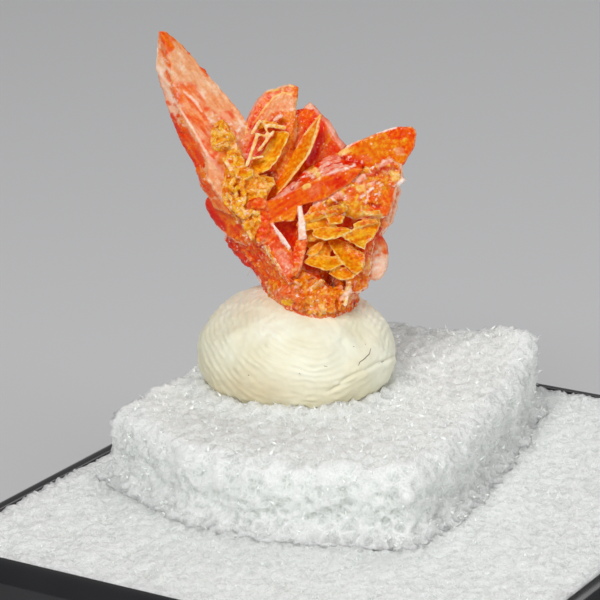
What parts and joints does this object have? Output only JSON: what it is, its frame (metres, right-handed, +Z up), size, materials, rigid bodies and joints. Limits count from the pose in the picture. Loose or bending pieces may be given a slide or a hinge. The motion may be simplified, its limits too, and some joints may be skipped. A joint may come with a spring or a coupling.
{
  "type": "wulfenite crystal specimen in a foam-lined box base",
  "caption": "Fan-shaped wulfenite crystal cluster held upright in a ball of putty, on a torn foam block in a foam-lined black box base.",
  "frame": {"origin": "middle of the box base's underside", "axes": "+Z up, +Y along the box's long side; the fan of crystals faces the corner between +X and -Y"},
  "size_m": [0.0508, 0.061, 0.045],
  "materials": {
    "black_plastic": "glossy black moulded polystyrene",
    "white_foam": "white cellular polyethylene foam, torn and sparkling",
    "cream_putty": "soft cream putty with pressed finger ridges",
    "orange_wulfenite": "orange-red crystal, resinous lustre, frosted in places"
  },
  "bodies": {
    "root": {"box_base": "black_plastic", "foam_liner": "white_foam", "foam_block": "white_foam", "putty_ball": "cream_putty", "wulfenite_cluster": "orange_wulfenite"}
  },
  "joints": []
}
